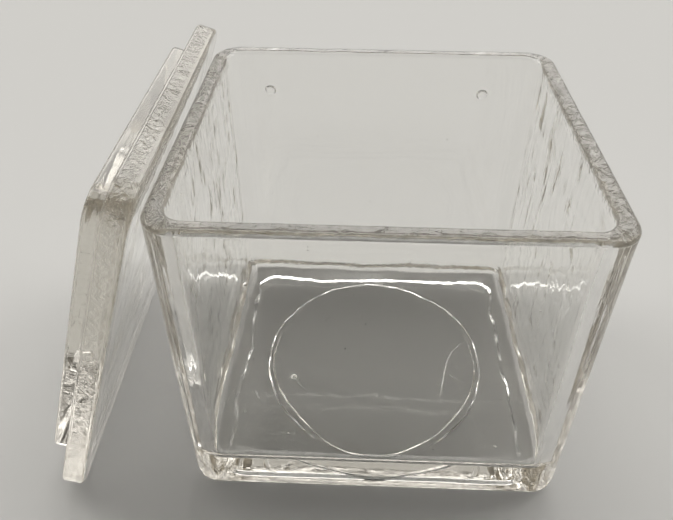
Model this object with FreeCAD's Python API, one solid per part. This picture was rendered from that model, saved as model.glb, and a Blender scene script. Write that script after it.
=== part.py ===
"""Slide staining jar: a thick pressed-glass box, open at the top, and its loose lid.

Millimetres, +Z up.  The origin is the centre of the jar's underside.  X runs across the
jar's wide side and Y runs from front to back.  The lid is off the jar: it stands on its
lower edge to the left and leans on the left rim, with its plug facing outwards.
"""
import FreeCAD, Part
import math
import os

os.makedirs("parts", exist_ok=True)

# ---- jar, outside ---------------------------------------------------------------------
jar_width = 100.0           # left to right
jar_depth = 90.0            # front to back
jar_height = 90.0           # underside to rim
outer_corner_radius = 7.5   # upright corners, outside
foot_edge_radius = 3.5      # round edge where the walls meet the underside

# ---- jar, inside ----------------------------------------------------------------------
wall = 4.4                  # thickness of the four walls
floor_thickness = 9.0       # solid glass under the hollow
inner_corner_radius = 5.0   # upright corners, inside
floor_edge_radius = 4.0     # where the walls meet the floor, inside
rim_radius = 1.5            # fire-polished edges of the rim

# ---- underside: the jar stands on a flat border around a shallow sunk panel -----------
foot_width = 7.6            # border, from the outside of the walls to where the slope starts
panel_slope_width = 2.6     # slope from the border up to the panel, seen from below
panel_depth = 0.8           # how far the panel is sunk
panel_corner_radius = 5.0

# ---- marks left by the mould ----------------------------------------------------------
ring_radius = 33.3          # round groove in the sunk panel, at the middle of the groove
ring_groove_width = 1.6
ring_groove_depth = 0.35
nib_base_radius = 1.65      # low round nibs on the outside of the back wall
nib_height = 0.8
nib_spacing = 66.0          # between the two nibs' centres
nib_offset = -1.6           # the pair sits this far off the middle of the wall
nib_below_rim = 14.0

# ---- lid ------------------------------------------------------------------------------
flange_overhang = 1.7       # how far the flange reaches past the jar's outside
flange_thickness = 5.6
flange_edge_radius = 1.0
plug_height = 4.8           # how far the plug reaches into the jar
plug_clearance = 0.7        # between the plug and the jar's inner walls
plug_corner_radius = 6.5
plug_edge_radius = 1.0

# ---- how the lid leans ----------------------------------------------------------------
lean_angle = 18.4           # of the lid from upright, degrees
lean_yaw = 0.6              # of the lid about the upright, degrees: its front end is nearer
lean_shift_y = -2.4         # the lid stands this far forward of the jar's middle
rest_clearance = 0.2        # left between the lid and the rim that carries it

# Shared by both pieces.
cavity_width = jar_width - 2 * wall
cavity_depth = jar_depth - 2 * wall
rim_round = min(rim_radius, 0.48 * wall)
mouth_margin = 5.0          # how far the cavity's cutting block runs on past the rim


def rounded_block(width, depth, radius, bottom, height):
    """An upright block, centred on the Z axis, with its four upright corners rounded."""
    corner = FreeCAD.Vector(-width / 2, -depth / 2, bottom)
    block = Part.makeBox(width, depth, height, corner)
    upright = [e for e in block.Edges if is_upright(e)]
    return block.makeFillet(radius, upright)


def is_upright(edge):
    """True for a straight edge that runs along Z."""
    box = edge.BoundBox
    return box.ZLength > 1e-6 and box.XLength < 1e-6 and box.YLength < 1e-6


def edges_at(shape, height):
    """The edges that lie flat at one height."""
    level = 1e-4
    return [e for e in shape.Edges
            if abs(e.BoundBox.ZMin - height) < level and abs(e.BoundBox.ZMax - height) < level]


def flat_outline(width, depth, radius, height):
    """The outline of a rounded rectangle, centred on the Z axis, that lies flat at height."""
    block = rounded_block(width, depth, radius, height, 1.0)
    return [f for f in block.Faces if abs(f.BoundBox.ZMax - height) < 1e-4][0].OuterWire


def sunk_panel():
    """The block that cuts the panel.  Its sides slope, and they run on below the underside."""
    width = jar_width - 2 * (foot_width + panel_slope_width)
    depth = jar_depth - 2 * (foot_width + panel_slope_width)
    spread = 2 * panel_slope_width
    low = flat_outline(width + 2 * spread, depth + 2 * spread, panel_corner_radius + spread,
                       -panel_depth)
    high = flat_outline(width, depth, panel_corner_radius, panel_depth)
    return Part.makeLoft([low, high], True, True)


def groove_ring():
    """The ring that cuts the round groove: a torus whose cap reaches into the sunk panel."""
    half = ring_groove_width / 2
    tube = (half ** 2 + ring_groove_depth ** 2) / (2 * ring_groove_depth)
    centre = FreeCAD.Vector(0, 0, panel_depth + ring_groove_depth - tube)
    return Part.makeTorus(ring_radius, tube, centre)


def nib(x, z):
    """A spherical cap that stands out of the back wall at (x, z)."""
    ball = (nib_base_radius ** 2 + nib_height ** 2) / (2 * nib_height)
    back = jar_depth / 2
    sphere = Part.makeSphere(ball, FreeCAD.Vector(x, back + nib_height - ball, z))
    root = wall / 4         # depth of the cap's root inside the wall
    keep = Part.makeBox(4 * ball, root + nib_height, 4 * ball,
                        FreeCAD.Vector(x - 2 * ball, back - root, z - 2 * ball))
    return sphere.common(keep)


def make_jar():
    """The open box: outer block less the hollow, with round edges, sunk panel and marks."""
    outside = rounded_block(jar_width, jar_depth, outer_corner_radius, 0.0, jar_height)
    outside = outside.makeFillet(foot_edge_radius, edges_at(outside, 0.0))
    hollow_height = jar_height - floor_thickness + mouth_margin
    hollow = rounded_block(cavity_width, cavity_depth, inner_corner_radius,
                           floor_thickness, hollow_height)
    hollow = hollow.makeFillet(floor_edge_radius, edges_at(hollow, floor_thickness))
    jar = outside.cut(hollow)
    jar = jar.makeFillet(rim_round, edges_at(jar, jar_height))
    jar = jar.cut(sunk_panel())
    jar = jar.cut(groove_ring())
    for side in (-1, 1):
        x = nib_offset + side * nib_spacing / 2
        jar = jar.fuse(nib(x, jar_height - nib_below_rim))
    return jar.removeSplitter()


def make_flat_lid():
    """The lid lying on its flat face: flange below, plug above, both centred on Z."""
    width = jar_width + 2 * flange_overhang
    depth = jar_depth + 2 * flange_overhang
    corner_radius = outer_corner_radius + flange_overhang
    flange = rounded_block(width, depth, corner_radius, 0.0, flange_thickness)
    flange_edges = edges_at(flange, 0.0) + edges_at(flange, flange_thickness)
    flange_round = min(flange_edge_radius, 0.48 * flange_thickness)
    flange = flange.makeFillet(flange_round, flange_edges)
    top = flange_thickness + plug_height
    plug = rounded_block(cavity_width - 2 * plug_clearance, cavity_depth - 2 * plug_clearance,
                         plug_corner_radius, flange_thickness / 2, top - flange_thickness / 2)
    plug = plug.makeFillet(plug_edge_radius, edges_at(plug, top))
    return flange.fuse(plug).removeSplitter()


def lean(lid):
    """Stand the flat lid on its lower edge and lean its flat face on the jar's left rim.

    The lid turns about Y, so its width runs up the slope and its plug points outwards.  It
    sinks until the rounded lower edge meets the ground, then slides along X until the flat
    face is rest_clearance from the round of the rim, or, where the lid is too short to
    reach the rim, until its upper edge is that far from the wall.  Last, it turns by the
    yaw about the front end of the rim's straight run, so that only that end stays close.
    """
    length = jar_width + 2 * flange_overhang
    edge = min(flange_edge_radius, 0.48 * flange_thickness)
    tilt = math.radians(lean_angle)
    sin_t, cos_t = math.sin(tilt), math.cos(tilt)
    foot_z = -edge * (sin_t + cos_t - 1)
    rim_x = -jar_width / 2 + rim_round
    rim_z = jar_height - rim_round
    touch_z = rim_z + rim_round * sin_t
    reach_z = foot_z + (length - edge) * cos_t
    if reach_z >= touch_z:
        foot_x = rim_x - (rim_round + rest_clearance + (rim_z - foot_z) * sin_t) / cos_t
    else:
        foot_x = (-jar_width / 2 - rest_clearance - edge
                  - (length - edge) * sin_t + edge * cos_t)
    placed = lid.copy()
    placed.translate(FreeCAD.Vector(length / 2, 0, 0))
    placed.rotate(FreeCAD.Vector(0, 0, 0), FreeCAD.Vector(0, 1, 0), lean_angle - 90)
    placed.translate(FreeCAD.Vector(foot_x, lean_shift_y, foot_z))
    straight_end_y = -jar_depth / 2 + outer_corner_radius
    placed.rotate(FreeCAD.Vector(rim_x, straight_end_y, 0), FreeCAD.Vector(0, 0, 1), lean_yaw)
    return placed


pieces = {"jar": make_jar(), "lid": lean(make_flat_lid())}
for name, shape in pieces.items():
    solid = shape.Solids[0]
    print(name, "solids", len(shape.Solids), "valid", solid.isValid(),
          "volume", round(solid.Volume, 1), "box", solid.BoundBox)
    solid.exportStep("parts/" + name + ".step")
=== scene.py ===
"""Slide staining jar: clear pressed glass, with the lid off and leaning on the left rim.

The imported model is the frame.  Both pieces are worked out again here as closed glass
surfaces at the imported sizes, with the slight waves, mould marks and seeds of pressed glass.
Lengths in the formulas are millimetres, and MM turns them to metres.
"""
import math

import bpy
import numpy as np
from mathutils import Matrix, Vector


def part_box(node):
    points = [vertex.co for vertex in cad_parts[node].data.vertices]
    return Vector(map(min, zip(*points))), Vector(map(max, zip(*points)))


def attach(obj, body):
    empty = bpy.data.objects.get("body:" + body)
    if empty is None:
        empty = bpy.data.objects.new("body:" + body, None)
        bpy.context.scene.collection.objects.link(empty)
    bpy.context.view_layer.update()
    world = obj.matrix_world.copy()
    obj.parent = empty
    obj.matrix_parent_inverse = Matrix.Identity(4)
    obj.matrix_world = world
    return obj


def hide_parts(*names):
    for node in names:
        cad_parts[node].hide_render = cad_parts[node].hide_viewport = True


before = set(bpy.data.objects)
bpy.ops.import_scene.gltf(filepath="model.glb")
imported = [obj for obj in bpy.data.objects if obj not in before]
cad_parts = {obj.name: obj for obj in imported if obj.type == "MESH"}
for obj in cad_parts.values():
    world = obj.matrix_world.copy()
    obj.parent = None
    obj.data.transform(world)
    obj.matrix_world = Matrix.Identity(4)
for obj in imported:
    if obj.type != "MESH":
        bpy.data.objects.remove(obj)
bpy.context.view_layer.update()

MM = 0.001


# ---- sizes, from the frame and from the way the jar is pressed ---------------------------

JAR_HALF_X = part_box("jar")[1][0] / MM
JAR_HALF_Y = -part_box("jar")[0][1] / MM
JAR_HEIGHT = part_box("jar")[1][2] / MM
OUTER_CORNER = 7.5
INNER_CORNER = 5.0
WALL = 4.4
FLOOR = 9.0
FOOT_EDGE = 3.5
FLOOR_EDGE = 4.0
RIM_ROUND = 1.5
INNER_HALF_X = JAR_HALF_X - WALL
INNER_HALF_Y = JAR_HALF_Y - WALL
CROWN_START = JAR_HEIGHT - RIM_ROUND

FOOT_WIDTH = 7.6          # the border that stands, in to the slope
PANEL_SLOPE = 2.6
PANEL_DEPTH = 0.8
PANEL_CORNER = 5.0
RING_RADIUS = 32.9
RING_WIDTH = 1.35
RING_DEPTH = 0.35
RING_SLOPE = 0.40
NIB_RADIUS = 1.65
NIB_HEIGHT = 0.8
NIB_X = (-34.6, 31.4)
NIB_DROP = 14.0
NIB_Z = JAR_HEIGHT - NIB_DROP

OVERHANG = 1.7            # how far the flange is past the jar's outside
FLANGE_X = JAR_HALF_X + OVERHANG
FLANGE_Y = JAR_HALF_Y + OVERHANG
FLANGE_CORNER = OUTER_CORNER + OVERHANG
FLANGE = 5.6
FLANGE_EDGE = 1.0
PLUG = 4.8
PLUG_CLEARANCE = 0.7
PLUG_X = INNER_HALF_X - PLUG_CLEARANCE
PLUG_Y = INNER_HALF_Y - PLUG_CLEARANCE
PLUG_CORNER = 6.5
PLUG_EDGE = 1.0
LEAN = math.radians(18.4)
LEAN_YAW = math.radians(0.6)
LEAN_Y = -2.4
REST_CLEARANCE = 0.2


# ---- camera ------------------------------------------------------------------------------

CAMERA_AT = Vector((-0.00598, -0.14044, 0.16795))
CAMERA_PITCH, CAMERA_YAW, CAMERA_ROLL = (math.radians(a) for a in (37.10, -1.67, -0.48))
CAMERA_LENS = 34.56
CAMERA_SENSOR = 36.0
CAMERA_SHIFT = (-0.0108, -0.0713)
CAMERA_CLIP = (0.01, 20.0)


def make_camera():
    """A camera that looks down by the pitch, aimed left or right by the yaw, then rolled."""
    data = bpy.data.cameras.new("camera")
    data.lens = CAMERA_LENS
    data.sensor_width = CAMERA_SENSOR
    data.shift_x, data.shift_y = CAMERA_SHIFT
    data.clip_start, data.clip_end = CAMERA_CLIP
    cp, sp = math.cos(CAMERA_PITCH), math.sin(CAMERA_PITCH)
    cy, sy = math.cos(CAMERA_YAW), math.sin(CAMERA_YAW)
    ahead = Vector((sy * cp, cy * cp, -sp))
    right = Vector((cy, -sy, 0.0))
    down = ahead.cross(right)
    cr, sr = math.cos(CAMERA_ROLL), math.sin(CAMERA_ROLL)
    rolled_right = cr * right + sr * down
    rolled_up = sr * right - cr * down
    camera = bpy.data.objects.new("camera", data)
    camera.matrix_world = Matrix.Translation(CAMERA_AT) @ Matrix(
        (rolled_right, rolled_up, -ahead)).transposed().to_4x4()
    bpy.context.scene.collection.objects.link(camera)
    bpy.context.scene.camera = camera


# ---- nodes and colours -------------------------------------------------------------------

def linear(code):
    """The linear colour of an sRGB hex code such as #f0ede4."""
    channels = [int(code[i:i + 2], 16) / 255 for i in (1, 3, 5)]
    return [c / 12.92 if c <= 0.04045 else ((c + 0.055) / 1.055) ** 2.4
            for c in channels] + [1.0]


def add(tree, kind, settings=None, links=None):
    """One new node: settings are its properties or input values, links feed its inputs."""
    node = tree.nodes.new(kind)
    for name, value in (settings or {}).items():
        if isinstance(name, str) and hasattr(node, name):
            setattr(node, name, value)
        else:
            node.inputs[name].default_value = value
    for name, socket in (links or {}).items():
        tree.links.new(socket, node.inputs[name])
    return node


# ---- grids -------------------------------------------------------------------------------

def spread(low, high, step, fine_at=(), fine_half=2.2, fine_step=0.28):
    """Places from low to high about a step apart, and finer round each place in fine_at."""
    places = [np.linspace(low, high, max(2, round((high - low) / step) + 1))]
    for centre in fine_at:
        places[0] = places[0][np.abs(places[0] - centre) > fine_half]
        count = round(2 * fine_half / fine_step) + 1
        places.append(np.linspace(centre - fine_half, centre + fine_half, count))
    return np.sort(np.concatenate(places))


class Outline:
    """The way round a rounded rectangle, anticlockwise from above.

    Each place holds where it is on the rectangle of the corner centres, from -1 to 1 each
    way, and the outward direction there.  So one Outline gives matching loops of any size
    and corner radius: centre rectangle plus radius times direction.  Sideways is 1 where a
    wall faces left or right, corner is 1 in the middle of a corner and 0 on the walls, and
    off_corner is the angle from that middle.
    """

    def __init__(self, half_x, half_y, radius, step=1.2, arc_steps=18, back_fine=()):
        flat_x, flat_y = half_x - radius, half_y - radius
        turn = np.linspace(0, math.pi / 2, arc_steps + 1)[1:-1]
        sides = []
        for quarter, (reach, fine) in enumerate(((flat_y, ()), (flat_x, back_fine),
                                                 (flat_y, ()), (flat_x, ()))):
            along = spread(-reach, reach, step, [-f for f in fine]) / reach
            ones = np.ones_like(along)
            start = quarter * math.pi / 2
            place = {0: (ones, along), 1: (-along, ones), 2: (-ones, -along), 3: (along, -ones)}
            corner = {0: (1, 1), 1: (-1, 1), 2: (-1, -1), 3: (1, -1)}[quarter]
            sides.append((*place[quarter], start + 0 * along))
            sides.append((corner[0] + 0 * turn, corner[1] + 0 * turn, start + turn))
        self.px, self.py, angle = (np.concatenate(c) for c in zip(*sides))
        self.nx, self.ny = np.cos(angle), np.sin(angle)
        self.sideways = self.nx ** 2
        self.corner = np.abs(2 * self.nx * self.ny)
        self.off_corner = np.arctan2(np.abs(self.ny), np.abs(self.nx)) - math.pi / 4

    def loop(self, half_x, half_y, radius):
        """The loop of that size, as x and y."""
        return (self.px * (half_x - radius) + radius * self.nx,
                self.py * (half_y - radius) + radius * self.ny)


def closed_grid(rows):
    """Points and faces of a closed surface from rows of loops.

    Each row is (x, y, z, drag, mottle), numbers or arrays round the loop, and the rows run
    from the middle of the underside out, up, over and back to the middle on top.  The first
    and last rows are closed with a fan to their middle.
    """
    width = max(np.size(c) for row in rows for c in row)
    grid = np.array([[np.broadcast_to(c, width) for c in row] for row in rows])
    grid = grid.transpose(0, 2, 1)
    count, around, columns = grid.shape
    index = np.arange(count * around).reshape(count, around)
    beside = np.roll(index, -1, axis=1)
    quads = np.stack([index[:-1], beside[:-1], beside[1:], index[1:]], axis=-1).reshape(-1, 4)
    low, high = count * around, count * around + 1
    low_fan = np.stack([np.full(around, low), beside[0], index[0]], axis=-1)
    high_fan = np.stack([index[-1], beside[-1], np.full(around, high)], axis=-1)
    points = np.concatenate([grid.reshape(-1, columns), [grid[0].mean(axis=0)],
                             [grid[-1].mean(axis=0)]])
    return points, [quads, low_fan, high_fan]


def joined(parts):
    """Several closed surfaces as one: their points, and their faces numbered on."""
    points, faces, start = [], [], 0
    for part_points, part_faces in parts:
        points.append(part_points)
        faces.extend(f + start for f in part_faces)
        start += len(part_points)
    return np.concatenate(points), faces


def make_mesh(name, points, faces):
    """A mesh object from points in millimetres and faces given as index arrays.

    The points' last two columns become the attributes that the glass reads.
    """
    mesh = bpy.data.meshes.new(name)
    mesh.from_pydata((points[:, :3] * MM).tolist(), [],
                     [f for part in faces for f in part.tolist()])
    for column, label in ((3, "drag"), (4, "mottle")):
        layer = mesh.attributes.new(label, "FLOAT", "POINT")
        layer.data.foreach_set("value", np.ascontiguousarray(points[:, column], np.float32))
    mesh.shade_smooth()
    piece = bpy.data.objects.new(name, mesh)
    bpy.context.scene.collection.objects.link(piece)
    return piece


class Waves:
    """Smooth seeded waves: a sum of sines of the place, each with its own direction."""

    def __init__(self, seed, shortest, longest, stretch=(1, 1, 1), count=14):
        rng = np.random.default_rng(seed)
        length = np.exp(rng.uniform(math.log(shortest), math.log(longest), count))
        way = rng.normal(size=(count, 3))
        way /= np.linalg.norm(way, axis=1)[:, None]
        self.k = way * (2 * math.pi / length)[:, None] / np.array(stretch)
        self.phase = rng.uniform(0, 2 * math.pi, count)
        self.share = (length / longest) ** 0.7
        self.share /= math.sqrt((self.share ** 2).sum() / 2)

    def at(self, x, y, z):
        """The height of the waves at each place, about -2 to 2, with a spread of 1."""
        x, y, z = np.broadcast_arrays(x, y, z)
        return sum(s * np.sin(k[0] * x + k[1] * y + k[2] * z + p)
                   for s, k, p in zip(self.share, self.k, self.phase))


def smooth(low, high, value):
    """A smooth step from 0 at low to 1 at high: t squared times (3 - 2t)."""
    t = np.clip((value - low) / (high - low), 0, 1)
    return t * t * (3 - 2 * t)


def bell(middle, half, value):
    """A bell, 1 at the middle: e to the minus square of the distance divided by half."""
    return np.exp(-((value - middle) / half) ** 2)


# ---- the jar -----------------------------------------------------------------------------

# How the ring in the underside differs from a true and even circle.
RING_BULGE = 2.5          # outwards at the front
RING_PINCH = 0.4          # inwards, PINCH_AT degrees to each side of the front
PINCH_AT = 50
PINCH_WIDER = 0.8         # added to its width there
PINCH_DEEPER = 0.9        # added to its depth there, as a share
RING_WAVES_AT = 33        # the radius at which its waves are read
RING_WANDER = 0.16
RING_WIDTH_WANDER = 0.22
RING_DEPTH_WANDER = 0.2   # a share of its depth

# The marks of pressing: what one unit of each mark's waves is worth.
BORDER_WANDER = 0.12      # the slope from the sunk panel to the border that stands
SIDE_BORDER_WANDER = 0.22
FOLD_DEPTH = 0.12         # folds in the corners near the foot
BAND_DEPTH = 0.08         # nested bands round the foot of each corner
PRESS_DEPTH = 0.03        # broad waves of the outside
FLUTE_DEPTH = 0.06        # fine flutes down the corners
DRAW_DEPTH = 0.055        # even draw lines down the corners
NIB_DIP = 0.16            # the dip round each nib
RIM_SINK = 0.05           # dips of the flame-polished rim
CHILL_DEPTH = 0.02        # broad waves of the inside
SIDE_CHILL_DEPTH = 0.03   # and what is added to them on the side walls
LAP_DEPTH = 0.05          # laps across the low part of the side walls
RIDGE_DEPTH = 0.035       # faint ridges along the round at the floor's edge
LEVEL_DEPTH = 0.03        # broad waves of the floor

BAND_PITCH = 2.4          # from one nested band to the next
BAND_BOW = 0.3            # how sharply each is bent into a U
DRAW_PITCH = 2.1          # from one draw line to the next
# A mark is absent at the first height and full at the second.
FOLDED = (20, 8)
DRAWN = (12, 26)
LAPPED = (62, 22)
MOTTLED_LOW = (30, 4)

# Rows of the surface stand this far apart up the walls, and closer below these heights.
ROW_STEP = 1.9
FINE_ROW_STEP = 0.6
FINE_OUTSIDE_TOP = 20
FINE_INSIDE_TOP = 34

# Waves that two stretches of the surface share.
FOLD_WAVES = Waves(13, 5, 13)
FLUTE_WAVES = Waves(41, 1.6, 4.5, stretch=(1, 1, 16))

# Drag and mottle of each even stretch of surface.
PANEL_FINISH = (0, 0.03)
SLOPE_FINISH = (0, 0.06)
BORDER_FINISH = (0, 0.25)
FLOOR_EDGE_FINISH = (0, 0.04)
FLOOR_FINISH = (0, 0.02)


def underside_rows(around):
    """The sunk panel with its ring, the slope round it, and the flat border that stands.

    The ring is a groove with a flat bottom and sloped sides.  Its radius bulges at the
    front and pulls in a little beside that, and it is widest where it pulls in.
    """
    wave = Waves(17, 12, 60)
    ripple = Waves(19, 5, 16)
    foot_x, foot_y = around.loop(JAR_HALF_X - FOOT_EDGE, JAR_HALF_Y - FOOT_EDGE,
                                 OUTER_CORNER - FOOT_EDGE)
    bearing = np.arctan2(foot_y, foot_x)
    cx, cy = np.cos(bearing), np.sin(bearing)
    near_x, near_y = RING_WAVES_AT * cx, RING_WAVES_AT * cy
    off_front = np.degrees(np.arccos(np.clip(-cy, -1, 1)))
    ring = (RING_RADIUS + RING_BULGE * bell(0, 27, off_front)
            - RING_PINCH * bell(PINCH_AT, 18, off_front)
            + RING_WANDER * wave.at(near_x, near_y, 0))
    half = 0.5 * (RING_WIDTH + PINCH_WIDER * bell(PINCH_AT, 22, off_front)
                  + RING_WIDTH_WANDER * wave.at(near_x, near_y, 40))
    deep = RING_DEPTH * (1 + RING_DEPTH_WANDER * wave.at(near_x, near_y, 90)
                         + PINCH_DEEPER * bell(PINCH_AT, 24, off_front))
    rows = []
    for share in np.linspace(0.04, 1, 17):
        radius = share * (ring - half - 1.2)
        rows.append((radius * cx, radius * cy, PANEL_DEPTH, *PANEL_FINISH))
    # Over each side of the groove, by how far inside its edge a row is.
    past = np.array([-0.5, -0.3, -0.21, -0.17, -0.1, 0, 0.1, 0.17, 0.21, 0.3])
    for side, order in ((-1, past), (1, past[::-1])):
        for inward in order:
            radius = ring + side * (half - inward)
            ramp = np.clip(0.5 + inward / RING_SLOPE, 0, 1)
            rows.append((radius * cx, radius * cy, PANEL_DEPTH + deep * ramp, *PANEL_FINISH))
    start_x, start_y = radius * cx, radius * cy
    inset = FOOT_WIDTH + PANEL_SLOPE
    panel_x, panel_y = around.loop(JAR_HALF_X - inset, JAR_HALF_Y - inset, PANEL_CORNER)
    for share in np.linspace(0, 1, 7)[1:-1]:
        rows.append((start_x * (1 - share) + panel_x * share,
                     start_y * (1 - share) + panel_y * share, PANEL_DEPTH, *PANEL_FINISH))
    for share in np.linspace(0, 1, 11):
        out = PANEL_SLOPE * share
        x, y = around.loop(JAR_HALF_X - inset + out, JAR_HALF_Y - inset + out,
                           PANEL_CORNER + out)
        wander = (BORDER_WANDER * wave.at(x, y, 20)
                  + SIDE_BORDER_WANDER * around.sideways * ripple.at(x, y, 20))
        rows.append((x + wander * around.nx, y + wander * around.ny,
                     PANEL_DEPTH * (1 - smooth(0, 1, share)), *SLOPE_FINISH))
    for share in (0.4, 0.75, 1):
        rows.append((x * (1 - share) + foot_x * share, y * (1 - share) + foot_y * share,
                     0, *BORDER_FINISH))
    return rows


def corner_folds(around, x, y, z, up):
    """Folds and nested bands in the corners near the foot, as a depth.

    The bands are a sine of the way up along the surface less BAND_BOW times arc^2, where
    arc is the way round from the corner's middle.
    """
    arc = OUTER_CORNER * around.off_corner
    bands = np.sin(2 * math.pi * (up - BAND_BOW * arc ** 2) / BAND_PITCH
                   + 0.7 * FOLD_WAVES.at(x, y, up))
    return FOLD_DEPTH * (1 + FOLD_WAVES.at(x, y, z)) + BAND_DEPTH * bands


def foot_rows(around):
    """A quarter round, offset inwards by (1 - sin) and up by (1 - cos) of its turn."""
    rows = []
    for turn in np.linspace(0, math.pi / 2, 13)[1:]:
        inset = FOOT_EDGE * (1 - math.sin(turn))
        x, y = around.loop(JAR_HALF_X - inset, JAR_HALF_Y - inset, OUTER_CORNER - inset)
        z = FOOT_EDGE * (1 - math.cos(turn))
        up = FOOT_EDGE * (1 + turn - math.pi / 2)
        dent = math.sin(turn) * around.corner * corner_folds(around, x, y, z, up)
        mottle = 0.1 + 0.3 * around.corner
        rows.append((x - dent * around.nx, y - dent * around.ny, z, 0, mottle))
    return rows


def outside_rows(around):
    """The upright outside, waved inwards a little, with the two nibs on the back.

    The corners have folds and bands low down, and flutes and draw lines above.  Each nib
    is half an ellipsoid, NIB_HEIGHT times the root of 1 - away^2, in a shallow dip.
    """
    press = Waves(3, 14, 60, stretch=(1, 1, 3))
    arc = OUTER_CORNER * around.off_corner
    outer_x, outer_y = around.loop(JAR_HALF_X, JAR_HALF_Y, OUTER_CORNER)
    heights = np.concatenate([
        spread(FOOT_EDGE, FINE_OUTSIDE_TOP, FINE_ROW_STEP)[:-1],
        spread(FINE_OUTSIDE_TOP, CROWN_START, ROW_STEP, [NIB_Z])])
    rows = []
    for z in heights[1:]:
        fade = smooth(FOOT_EDGE, FOOT_EDGE + 8, z) * smooth(CROWN_START, CROWN_START - 6, z)
        pressed = press.at(outer_x, outer_y, z)
        below_rim = smooth(CROWN_START, CROWN_START - 3, z)
        fluted = FLUTE_DEPTH * below_rim * (1.5 + FLUTE_WAVES.at(outer_x, outer_y, z))
        drawn = (DRAW_DEPTH * smooth(*DRAWN, z) * below_rim
                 * np.sin(2 * math.pi * arc / DRAW_PITCH + 0.6 * pressed))
        folded = smooth(*FOLDED, z) * corner_folds(around, outer_x, outer_y, z, z)
        dent = (PRESS_DEPTH * fade * (1.5 + pressed)
                + around.corner * (folded + fluted + drawn))
        x, y = outer_x - dent * around.nx, outer_y - dent * around.ny
        for nib_x in NIB_X:
            away = np.hypot(outer_x - nib_x, z - NIB_Z) / NIB_RADIUS
            dome = (NIB_HEIGHT * np.sqrt(np.clip(1 - away ** 2, 0, 1))
                    - NIB_DIP * bell(1.15, 0.2, away))
            y = y + np.where(outer_y > 0, dome, 0)
        drag = 0.1 + 0.5 * around.sideways * (1 - 0.6 * smooth(*LAPPED, z))
        mottle = (0.02 + 0.12 * smooth(*MOTTLED_LOW, z)) * (0.3 + 0.7 * around.corner)
        rows.append((x, y, z, drag, mottle))
    return rows


def rim_rows(around):
    """The rim: a round edge, the flat top and a round edge, dipped and mottled by the flame."""
    crown = Waves(8, 5, 16)
    outer_x, outer_y = around.loop(JAR_HALF_X, JAR_HALF_Y, OUTER_CORNER)
    inner_x, inner_y = around.loop(INNER_HALF_X, INNER_HALF_Y, INNER_CORNER)
    over = np.linspace(0, math.pi / 2, 9)
    insets = np.concatenate([RIM_ROUND * (1 - np.cos(over[1:])),
                             np.linspace(RIM_ROUND, WALL - RIM_ROUND, 5)[1:-1],
                             WALL - RIM_ROUND * (1 - np.cos(over[::-1]))])
    rows = []
    for inset in insets:
        share = inset / WALL
        x = outer_x * (1 - share) + inner_x * share
        y = outer_y * (1 - share) + inner_y * share
        drop = max(RIM_ROUND - inset, inset - WALL + RIM_ROUND, 0) / RIM_ROUND
        up = math.sqrt(max(1 - drop ** 2, 0))
        sink = RIM_SINK * up * (1.6 + crown.at(x, y, CROWN_START))
        mottle = 0.5 + 1.6 * around.sideways + 0.6 * around.corner
        rows.append((x, y, CROWN_START + RIM_ROUND * up - sink, 0, mottle))
    return rows


def inside_rows(around):
    """The upright inside, down to the floor's edge, waved most on the side walls."""
    chill = Waves(5, 8, 34, stretch=(1, 1, 3))
    laps = Waves(53, 5, 16, stretch=(1, 7, 1))
    inner_x, inner_y = around.loop(INNER_HALF_X, INNER_HALF_Y, INNER_CORNER)
    low_end = FLOOR + FLOOR_EDGE
    heights = np.concatenate([spread(low_end, FINE_INSIDE_TOP, FINE_ROW_STEP)[:-1],
                              spread(FINE_INSIDE_TOP, CROWN_START, ROW_STEP)])
    rows = []
    for z in heights[::-1][1:]:
        fade = smooth(low_end, low_end + 6, z) * smooth(CROWN_START, CROWN_START - 6, z)
        lapped = smooth(*LAPPED, z)
        dent = ((CHILL_DEPTH + SIDE_CHILL_DEPTH * around.sideways) * fade
                * chill.at(inner_x, inner_y, z)
                + FLUTE_DEPTH * around.corner * fade * FLUTE_WAVES.at(inner_x, inner_y, z + 200)
                + LAP_DEPTH * around.sideways * lapped * smooth(low_end, low_end + 2, z)
                * laps.at(inner_x, inner_y, z))
        drag = 0.1 + 0.9 * around.sideways * (1 - 0.9 * lapped)
        mottle = 0.02 + 0.05 * around.corner
        rows.append((inner_x + dent * around.nx, inner_y + dent * around.ny, z, drag, mottle))
    return rows


def floor_rows(around):
    """The floor: a quarter round in from the walls, faintly ridged, then shrinking loops."""
    ridges = Waves(47, 5, 18)
    level = Waves(11, 12, 50)
    inner_x, inner_y = around.loop(INNER_HALF_X, INNER_HALF_Y, INNER_CORNER)
    rows = []
    for turn in np.linspace(0, math.pi / 2, 25)[1:]:
        ridge = RIDGE_DEPTH * math.sin(turn * 2) * (
            math.sin(turn * 14) + 0.6 * ridges.at(inner_x, inner_y, 9 * turn))
        radius = FLOOR_EDGE + ridge * (0.3 + 0.7 * around.sideways)
        inset = FLOOR_EDGE - radius * math.cos(turn)
        x, y = around.loop(INNER_HALF_X - inset, INNER_HALF_Y - inset, INNER_CORNER - inset)
        rows.append((x, y, FLOOR + FLOOR_EDGE - radius * math.sin(turn), *FLOOR_EDGE_FINISH))
    edge_x, edge_y = x, y
    for share in np.linspace(1, 0.03, 34)[1:]:
        x, y = edge_x * share, edge_y * share
        fade = smooth(1, 0.86, share)
        rows.append((x, y, FLOOR + LEVEL_DEPTH * fade * level.at(x, y, 0), *FLOOR_FINISH))
    return rows


def jar_rows():
    """The jar's surface, from the middle of the underside round to the middle of the floor."""
    around = Outline(JAR_HALF_X, JAR_HALF_Y, OUTER_CORNER, step=1.8, arc_steps=28,
                     back_fine=NIB_X)
    return (underside_rows(around) + foot_rows(around) + outside_rows(around)
            + rim_rows(around) + inside_rows(around) + floor_rows(around))


# ---- seeds and hair lines: the small bubbles of pressed glass ----------------------------

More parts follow.
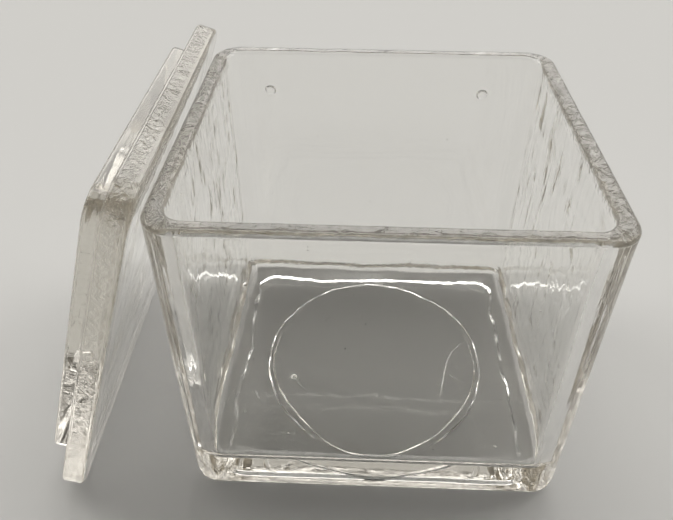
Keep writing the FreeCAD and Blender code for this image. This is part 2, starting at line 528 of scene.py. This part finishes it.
FLOOR_SEEDS, SIDE_SEEDS, END_SEEDS = 46, 26, 22
SEED_RADIUS = 0.10        # the smallest, to which up to SEED_SPREAD is added
SEED_SPREAD = 0.16
BUBBLE_AT = (-25.0, -10.0, 4.6)
BUBBLE_RADIUS = 1.0
BUBBLE_WAY = (0.3, 0.2, 1.0)
BUBBLE_STRETCH = 1.25
HAIR_TIP = 0.003          # the radius left at a hair line's ends

# Each hair line: its control points, its radius and its number of rings.
HAIR_LINES = (
    (((-24.4, -10.6, 4.9), (-23.0, -13.4, 4.7), (-21.0, -15.0, 4.6)), 0.13, 26),
    (((28.9, 5.9, 4.5), (23.4, 2.4, 4.3), (22.0, -4.0, 4.6), (21.8, -9.0, 4.4),
      (20.0, -15.0, 4.5)), 0.15, 44),
    (((23.4, -7.2, 4.9), (25.2, -9.8, 5.0), (27.4, -9.4, 5.0)), 0.08, 26),
    (((-17.7, 12.4, 5.5), (-16.0, 13.4, 5.4), (-14.1, 15.2, 5.6)), 0.07, 26),
    (((-36.2, -15.2, 5.0), (-35.6, -17.0, 5.0), (-33.8, -18.6, 5.1)), 0.10, 26),
)


def seeds(centres, radii, ways, stretch):
    """Small closed bubbles whose faces look into the bubble, all worked out at once.

    Each is a unit ball times its radius, and stretched along its way by its stretch.
    """
    tilt = np.linspace(0, math.pi, 6)[:, None]
    turn = np.linspace(0, 2 * math.pi, 9)[:-1][None]
    ball = np.stack([np.sin(tilt) * np.cos(turn), np.sin(tilt) * np.sin(turn),
                     np.cos(tilt) + 0 * turn], axis=-1)
    unit, faces = closed_grid([(*ring.T, 0, 0) for ring in ball[1:-1]])
    unit = unit[:, :3]
    unit[-2:] = (0, 0, 1), (0, 0, -1)
    ways = ways / np.linalg.norm(ways, axis=1)[:, None]
    along = unit @ ways.T
    points = (unit[:, None] + along[..., None] * ways * (stretch - 1)[:, None]) * radii[:, None]
    points = (points + centres).transpose(1, 0, 2).reshape(-1, 3)
    start = len(unit) * np.arange(len(centres))
    numbered = [(f[None] + start[:, None, None]).reshape(-1, f.shape[1]) for f in faces]
    return np.column_stack([points, np.zeros((len(points), 2))]), numbered


def hair_line(controls, radius, steps):
    """A drawn-out bubble: a thin spindle along the Bezier curve of its control points.

    The section is a circle of radius times the root of 4t(1 - t), and its faces look into
    the bubble.
    """
    controls = np.array(controls, float)
    order = len(controls) - 1
    t = np.linspace(0, 1, steps)[:, None]
    weights = np.concatenate([math.comb(order, i) * t ** i * (1 - t) ** (order - i)
                              for i in range(order + 1)], axis=1)
    path = weights @ controls
    way = np.gradient(path, axis=0)
    way /= np.linalg.norm(way, axis=1)[:, None]
    side = np.cross(way, (0, 0, 1.0))
    side /= np.linalg.norm(side, axis=1)[:, None]
    up = np.cross(side, way)
    turn = np.linspace(0, 2 * math.pi, 7)[:-1]
    size = radius * np.sqrt(4 * t * (1 - t)) + HAIR_TIP
    ring = (path[:, None] + size[..., None] * (side[:, None] * np.cos(turn)[:, None]
                                               + up[:, None] * np.sin(turn)[:, None]))
    return closed_grid([(*loop.T, 0, 0) for loop in ring])


def jar_bubbles():
    """The seeds in the floor and the walls, the one large bubble, and the hair lines."""
    rng = np.random.default_rng(31)
    floor_seeds = rng.uniform((-42, -37, 2.2), (42, 37, 7.6), (FLOOR_SEEDS, 3))
    side_x = rng.choice([-1, 1], SIDE_SEEDS) * rng.uniform(47, 48.6, SIDE_SEEDS)
    side_y = rng.uniform(-38, 38, SIDE_SEEDS)
    side_seeds = np.stack([side_x, side_y, rng.uniform(14, 84, SIDE_SEEDS)], axis=-1)
    end_x = rng.uniform(-42, 42, END_SEEDS)
    end_y = rng.choice([-1, 1], END_SEEDS) * rng.uniform(42, 43.6, END_SEEDS)
    end_seeds = np.stack([end_x, end_y, rng.uniform(14, 84, END_SEEDS)], axis=-1)
    centres = np.concatenate([floor_seeds, side_seeds, end_seeds])
    count = len(centres)
    radii = SEED_RADIUS + SEED_SPREAD * rng.random(count) ** 2
    ways = rng.normal(size=(count, 3)) * (0.5, 0.5, 1.0)
    stretch = 1 + 2.5 * rng.random(count) ** 3
    bubble = (np.array([value]) for value in (BUBBLE_AT, BUBBLE_RADIUS, BUBBLE_WAY,
                                              BUBBLE_STRETCH))
    return ([seeds(centres, radii, ways, stretch), seeds(*bubble)]
            + [hair_line(*line) for line in HAIR_LINES])


# ---- the lid -----------------------------------------------------------------------------

# What one unit of each mark's waves is worth.
FACE_DEPTH = 0.03         # broad waves of both faces
EDGE_DEPTH = 0.006        # the wander of every edge

# Drag and mottle of each stretch of surface.
LID_FACE_FINISH = (0.15, 0.02)
FLANGE_ROUND_FINISH = (0.1, 0.2)
FLANGE_SIDE_FINISH = (0.3, 1.5)
LEDGE_FINISH = (0.1, 0.1)
PLUG_FINISH = (0.1, 0.02)
PLUG_ROUND_FINISH = (0.1, 0.05)


def lid_rows():
    """The lid lying on its flat face: flat face, flange edge, flange, plug side, plug face."""
    around = Outline(FLANGE_X, FLANGE_Y, FLANGE_CORNER)
    uneven = Waves(23, 4.0, 12)
    face = Waves(29, 16, 60)
    rows = []
    x, y = around.loop(FLANGE_X - FLANGE_EDGE, FLANGE_Y - FLANGE_EDGE,
                       FLANGE_CORNER - FLANGE_EDGE)
    for share in np.linspace(0.03, 1, 26):
        fade = smooth(1, 0.9, share)
        dip = FACE_DEPTH * fade * (2 + face.at(x * share, y * share, 0))
        rows.append((x * share, y * share, dip, *LID_FACE_FINISH))
    # The flange: a quarter round, the side, and a quarter round the other way.
    for turn in np.linspace(0, math.pi / 2, 9)[1:]:
        inset = FLANGE_EDGE * (1 - math.sin(turn))
        x, y = around.loop(FLANGE_X - inset, FLANGE_Y - inset, FLANGE_CORNER - inset)
        rows.append((x, y, FLANGE_EDGE * (1 - math.cos(turn)), *FLANGE_ROUND_FINISH))
    for z in np.linspace(FLANGE_EDGE, FLANGE - FLANGE_EDGE, 5)[1:]:
        rows.append((x, y, z, *FLANGE_SIDE_FINISH))
    for turn in np.linspace(0, math.pi / 2, 9)[1:]:
        inset = FLANGE_EDGE * (1 - math.cos(turn))
        x, y = around.loop(FLANGE_X - inset, FLANGE_Y - inset, FLANGE_CORNER - inset)
        z = FLANGE - FLANGE_EDGE * (1 - math.sin(turn))
        rows.append((x, y, z, *FLANGE_ROUND_FINISH))
    edge_x, edge_y = x, y
    step_x, step_y = around.loop(PLUG_X, PLUG_Y, PLUG_CORNER)
    for share in np.linspace(0, 1, 7)[1:]:
        rows.append((edge_x * (1 - share) + step_x * share,
                     edge_y * (1 - share) + step_y * share, FLANGE, *LEDGE_FINISH))
    # The plug: its side, a quarter round, and its face as loops that shrink to the middle.
    for z in np.linspace(FLANGE, FLANGE + PLUG - PLUG_EDGE, 7)[1:]:
        rows.append((step_x, step_y, z, *PLUG_FINISH))
    for turn in np.linspace(0, math.pi / 2, 9)[1:]:
        inset = PLUG_EDGE * (1 - math.cos(turn))
        x, y = around.loop(PLUG_X - inset, PLUG_Y - inset, PLUG_CORNER - inset)
        z = FLANGE + PLUG - PLUG_EDGE * (1 - math.sin(turn))
        rows.append((x, y, z, *PLUG_ROUND_FINISH))
    edge_x, edge_y = x, y
    for share in np.linspace(1, 0.03, 26)[1:]:
        x, y = edge_x * share, edge_y * share
        fade = smooth(1, 0.9, share)
        dip = FACE_DEPTH * fade * (2 + face.at(x, y, 30))
        rows.append((x, y, FLANGE + PLUG - dip, *PLUG_FINISH))
    # The edges wander in and out along the outline.
    wandering = []
    for x, y, z, drag, mottle in rows:
        out = smooth(0.8, 1.0, np.maximum(np.abs(x) / PLUG_X, np.abs(y) / PLUG_Y))
        dent = EDGE_DEPTH * out * (1.5 + uneven.at(x, y, z))
        wandering.append((x - dent * around.nx, y - dent * around.ny, z, drag, mottle))
    return wandering


def leaned(points):
    """The flat lid's points stood on its lower edge and leaned on the rim, as in the frame.

    The lid turns about Y so that its width runs up the slope, moves out until its flat face
    is the clearance from the round of the rim, and turns by the yaw about the front end of
    that rim's straight run.
    """
    x, y, z = points[:, :3].T
    up = x + FLANGE_X
    sin_t, cos_t = math.sin(LEAN), math.cos(LEAN)
    foot_z = -FLANGE_EDGE * (sin_t + cos_t - 1)
    rim_x, rim_z = -JAR_HALF_X + RIM_ROUND, JAR_HEIGHT - RIM_ROUND
    end_y = -JAR_HALF_Y + OUTER_CORNER
    foot_x = rim_x - (RIM_ROUND + REST_CLEARANCE + (rim_z - foot_z) * sin_t) / cos_t
    away_x = foot_x + up * sin_t - z * cos_t - rim_x
    away_y = LEAN_Y + y - end_y
    cos_y, sin_y = math.cos(LEAN_YAW), math.sin(LEAN_YAW)
    return np.column_stack([rim_x + cos_y * away_x - sin_y * away_y,
                            end_y + sin_y * away_x + cos_y * away_y,
                            foot_z + up * cos_t + z * sin_t, points[:, 3:]])


# ---- materials ---------------------------------------------------------------------------

GLASS_SURFACE = "#fcfcfb"
GLASS_INDEX = 1.52
GLASS_DEPTH = "#dfdbd2"
DEPTH_DENSITY = 11.0      # per metre
# The glass's relief: its depth, and the width of each pattern by how many go to 100 mm.
RELIEF = 0.25
STREAK_WIDTH = 100 / 19
PATCH_WIDTH = 100 / 7.5
MOTTLE_WIDTH = 100 / 42
STREAK_SHAPE = 0.22       # a streak's width over its height
BOARD_TONE = "#cbcbc9"


def soda_lime_glass():
    """Clear soda-lime glass, pressed and fire-polished: bright, and warm grey in the depth.

    The tint is just strong enough that edges, seen end on, go dark.
    Tall drag streaks from the mould, stronger and weaker in patches, and the mottle that
    the flame leaves tip the surface where the piece's attributes ask for them.
    """
    material = bpy.data.materials.new("soda_lime_glass_pressed")
    material.use_nodes = True
    tree = material.node_tree
    tree.nodes.clear()
    place = add(tree, "ShaderNodeTexCoord")
    drawn = add(tree, "ShaderNodeMapping", {"Scale": (1, 1, STREAK_SHAPE)},
                {0: place.outputs["Object"]})
    streaks = add(tree, "ShaderNodeTexNoise",
                  {"Scale": 1 / (STREAK_WIDTH * MM), "Detail": 1.5, "Roughness": 0.4,
                   "Distortion": 0.7}, {"Vector": drawn.outputs[0]})
    patches = add(tree, "ShaderNodeTexNoise",
                  {"Scale": 1 / (PATCH_WIDTH * MM), "Detail": 1.0, "Roughness": 0.5,
                   "Distortion": 0.5}, {"Vector": place.outputs["Object"]})
    patchy = add(tree, "ShaderNodeMapRange",
                 {"From Min": 0.40, "From Max": 0.60, "To Min": 0.4, "To Max": 1.5},
                 {"Value": patches.outputs["Fac"]})
    spots = add(tree, "ShaderNodeTexNoise",
                {"Scale": 1 / (MOTTLE_WIDTH * MM), "Detail": 3.0, "Roughness": 0.5,
                 "Distortion": 1.2}, {"Vector": place.outputs["Object"]})
    drag = add(tree, "ShaderNodeAttribute", {"attribute_name": "drag"})
    mottle = add(tree, "ShaderNodeAttribute", {"attribute_name": "mottle"})
    drawn_here = add(tree, "ShaderNodeMath", {"operation": "MULTIPLY"},
                     {0: patchy.outputs[0], 1: drag.outputs["Fac"]})
    drag_part = add(tree, "ShaderNodeMath", {"operation": "MULTIPLY"},
                    {0: streaks.outputs["Fac"], 1: drawn_here.outputs[0]})
    height = add(tree, "ShaderNodeMath", {"operation": "MULTIPLY_ADD"},
                 {0: spots.outputs["Fac"], 1: mottle.outputs["Fac"], 2: drag_part.outputs[0]})
    relief = add(tree, "ShaderNodeBump", {"Strength": 1.0, "Distance": RELIEF * MM},
                 {"Height": height.outputs[0]})
    shader = add(tree, "ShaderNodeBsdfPrincipled", {
        "Base Color": linear(GLASS_SURFACE), "Roughness": 0.0, "IOR": GLASS_INDEX,
        "Transmission Weight": 1.0}, {"Normal": relief.outputs[0]})
    depth = add(tree, "ShaderNodeVolumeAbsorption",
                {"Color": linear(GLASS_DEPTH), "Density": DEPTH_DENSITY})
    add(tree, "ShaderNodeOutputMaterial", {},
        {"Surface": shader.outputs[0], "Volume": depth.outputs[0]})
    return material


def floor_board():
    """A plain matt board, pale grey."""
    material = bpy.data.materials.new("matt_studio_board")
    material.use_nodes = True
    tree = material.node_tree
    tree.nodes.clear()
    shader = add(tree, "ShaderNodeBsdfDiffuse", {"Color": linear(BOARD_TONE)})
    add(tree, "ShaderNodeOutputMaterial", {}, {"Surface": shader.outputs[0]})
    return material


# ---- studio ------------------------------------------------------------------------------

# Each tone of the wall: the sine of its height above the horizon, and its colour.
WALL_TONES = ((0.0, "#d2d1ce"), (0.16, "#e0dee0"), (0.32, "#54514c"), (1.0, "#54514c"))
# Each soft box: the way to its middle, half its width and half its height in degrees, and
# its brightness.
SOFT_BOXES = (((0.02, 0.87, 0.50), 32, 12, 3.6), ((-0.80, 0.28, 0.55), 20, 8, 3.8),
              ((0.80, 0.28, 0.55), 20, 8, 3.8), ((0.0, 0.35, 1.0), 50, 9, 3.0))
BOX_TONE = "#fffdfa"
BOX_BLUR = 2              # degrees to each side of a soft box's edge
BOARD_HALF = 4.0          # metres
BOARD_DROP = 0.00015
LIGHT_BOUNCES = 64


def make_floor():
    """A wide board just under the object."""
    corners = [(x * BOARD_HALF, y * BOARD_HALF, -BOARD_DROP)
               for x, y in ((-1, -1), (1, -1), (1, 1), (-1, 1))]
    mesh = bpy.data.meshes.new("studio_floor")
    mesh.from_pydata(corners, [], [(0, 1, 2, 3)])
    board = bpy.data.objects.new("studio_floor", mesh)
    bpy.context.scene.collection.objects.link(board)
    board.data.materials.append(floor_board())


def make_world():
    """A plain studio: a pale horizon, a darker wall above it, and soft boxes with soft edges."""
    world = bpy.data.worlds.new("studio")
    world.use_nodes = True
    tree = world.node_tree
    tree.nodes.clear()
    way = add(tree, "ShaderNodeTexCoord")
    split = add(tree, "ShaderNodeSeparateXYZ", {}, {0: way.outputs["Generated"]})
    wall = add(tree, "ShaderNodeValToRGB", {}, {0: split.outputs["Z"]})
    band = wall.color_ramp
    while len(band.elements) < len(WALL_TONES):
        band.elements.new(0.5)
    for element, (height, tone) in zip(band.elements, WALL_TONES):
        element.position = height
        element.color = linear(tone)
    light = add(tree, "ShaderNodeBackground", {"Strength": 1.0}, {"Color": wall.outputs[0]})
    # A soft box shines ahead only, up to half its width across and half its height up.
    for aim, half_wide, half_tall, strength in SOFT_BOXES:
        ahead = Vector(aim).normalized()
        across = ahead.cross((0, 0, 1)).normalized()
        facing = add(tree, "ShaderNodeVectorMath", {"operation": "DOT_PRODUCT", 1: ahead},
                     {0: way.outputs["Generated"]})
        inside = add(tree, "ShaderNodeMapRange",
                     {"interpolation_type": "SMOOTHSTEP", "From Min": 0.0, "From Max": 0.01,
                      "To Max": strength}, {"Value": facing.outputs["Value"]})
        for axis, half in ((across, half_wide), (across.cross(ahead), half_tall)):
            along = add(tree, "ShaderNodeVectorMath", {"operation": "DOT_PRODUCT", 1: axis},
                        {0: way.outputs["Generated"]})
            off = add(tree, "ShaderNodeMath", {"operation": "ABSOLUTE"},
                      {0: along.outputs["Value"]})
            edge = add(tree, "ShaderNodeMapRange",
                       {"interpolation_type": "SMOOTHSTEP",
                        "From Min": math.sin(math.radians(half + BOX_BLUR)),
                        "From Max": math.sin(math.radians(half - BOX_BLUR)),
                        "To Max": 1.0}, {"Value": off.outputs[0]})
            inside = add(tree, "ShaderNodeMath", {"operation": "MULTIPLY"},
                         {0: inside.outputs[0], 1: edge.outputs[0]})
        box = add(tree, "ShaderNodeBackground", {"Color": linear(BOX_TONE)},
                  {"Strength": inside.outputs[0]})
        light = add(tree, "ShaderNodeAddShader", {}, {0: light.outputs[0], 1: box.outputs[0]})
    add(tree, "ShaderNodeOutputWorld", {}, {"Surface": light.outputs[0]})
    bpy.context.scene.world = world


# ---- the scene ---------------------------------------------------------------------------

def make_piece(node, points, faces, material):
    """One glass piece that stands for a CAD node."""
    piece = make_mesh(node + "_glass", points, faces)
    piece.data.materials.append(material)
    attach(piece, "root")
    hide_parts(node)


make_camera()
make_world()
make_floor()
glass = soda_lime_glass()
jar_points, jar_faces = joined([closed_grid(jar_rows())] + jar_bubbles())
make_piece("jar", jar_points, jar_faces, glass)
lid_points, lid_faces = closed_grid(lid_rows())
make_piece("lid", leaned(lid_points), lid_faces, glass)

scene = bpy.context.scene
scene.view_settings.view_transform = "Standard"
scene.cycles.max_bounces = LIGHT_BOUNCES
scene.cycles.transmission_bounces = LIGHT_BOUNCES
scene.cycles.glossy_bounces = LIGHT_BOUNCES
